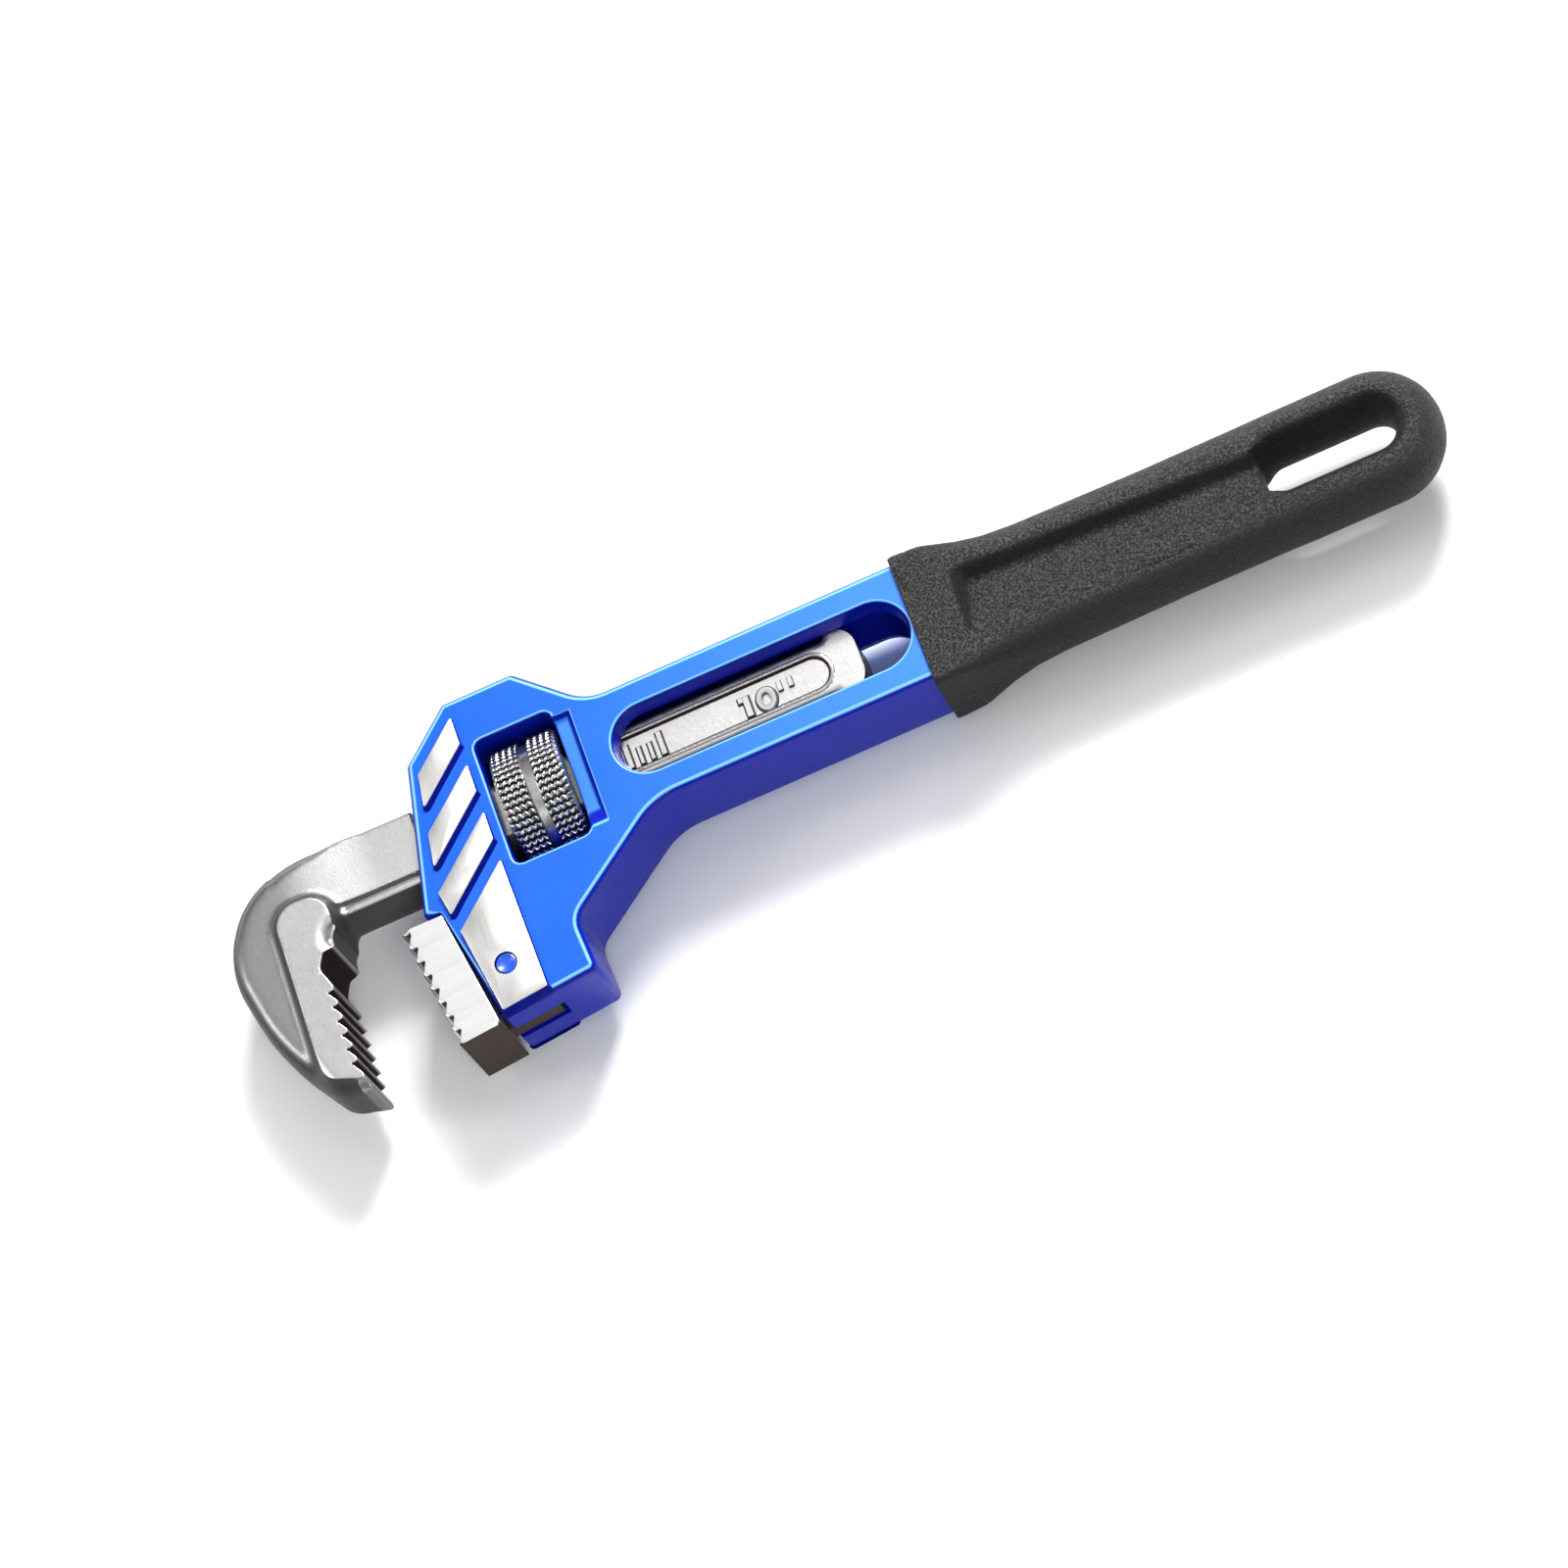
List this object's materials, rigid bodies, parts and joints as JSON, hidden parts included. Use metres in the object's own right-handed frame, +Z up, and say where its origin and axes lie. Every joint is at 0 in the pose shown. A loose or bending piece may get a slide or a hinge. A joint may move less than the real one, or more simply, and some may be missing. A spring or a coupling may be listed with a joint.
{
  "type": "pipe wrench",
  "caption": "Adjustable pipe wrench: one-piece head and handle, toothed heel jaw, threaded hook jaw moved by a knurled nut, rubber grip with a hanging hole.",
  "frame": {"origin": "middle of the tool's length and width, on the plane it lies on, at rest", "axes": "+X from the grip towards the jaws, +Y the side the mouth opens to, +Z up, square to the flat faces"},
  "size_m": [0.2518, 0.0674, 0.0257],
  "materials": {
    "blue_paint": "gloss enamel over a casting",
    "black_rubber": "fine matt grain",
    "bright_steel": "ground bright",
    "pin_paint": "painted over with the head",
    "satin_nickel": "satin nickel plate on a forging",
    "dark_steel": "knurled, lightly oiled",
    "spring_steel": "plain spring steel"
  },
  "bodies": {
    "housing": {"handle": "blue_paint", "grip": "black_rubber", "heel_jaw": "bright_steel", "heel_pin": "pin_paint"},
    "spring_pack": {"flat_spring": "spring_steel", "spring_rivet": "spring_steel", "coil_spring": "spring_steel"},
    "nut": {"adjusting_nut": "dark_steel"},
    "hook": {"hook_jaw": "satin_nickel"}
  },
  "joints": [
    {"name": "jaw_rock", "type": "hinge", "parent": "housing", "child": "spring_pack", "pos_m": [0.05815, -0.0096, 0.01287], "axis": [0, 0, 1], "range_deg": [0, 1.5], "stiffness_Nm_per_rad": 3, "springref_deg": -2.86},
    {"name": "jaw_slide", "type": "slide", "parent": "spring_pack", "child": "hook", "axis": [1, 0, 0], "range_m": [-0.0142, 0.018]},
    {"name": "nut_spin", "type": "hinge", "parent": "spring_pack", "child": "nut", "pos_m": [0.05815, -0.0096, 0.01287], "axis": [1, 0, 0], "range_deg": [-2161, 1705]}
  ],
  "couplings": [
    {"joint": "nut_spin", "follows": "jaw_slide", "rad_per_m": -2094.4}
  ]
}
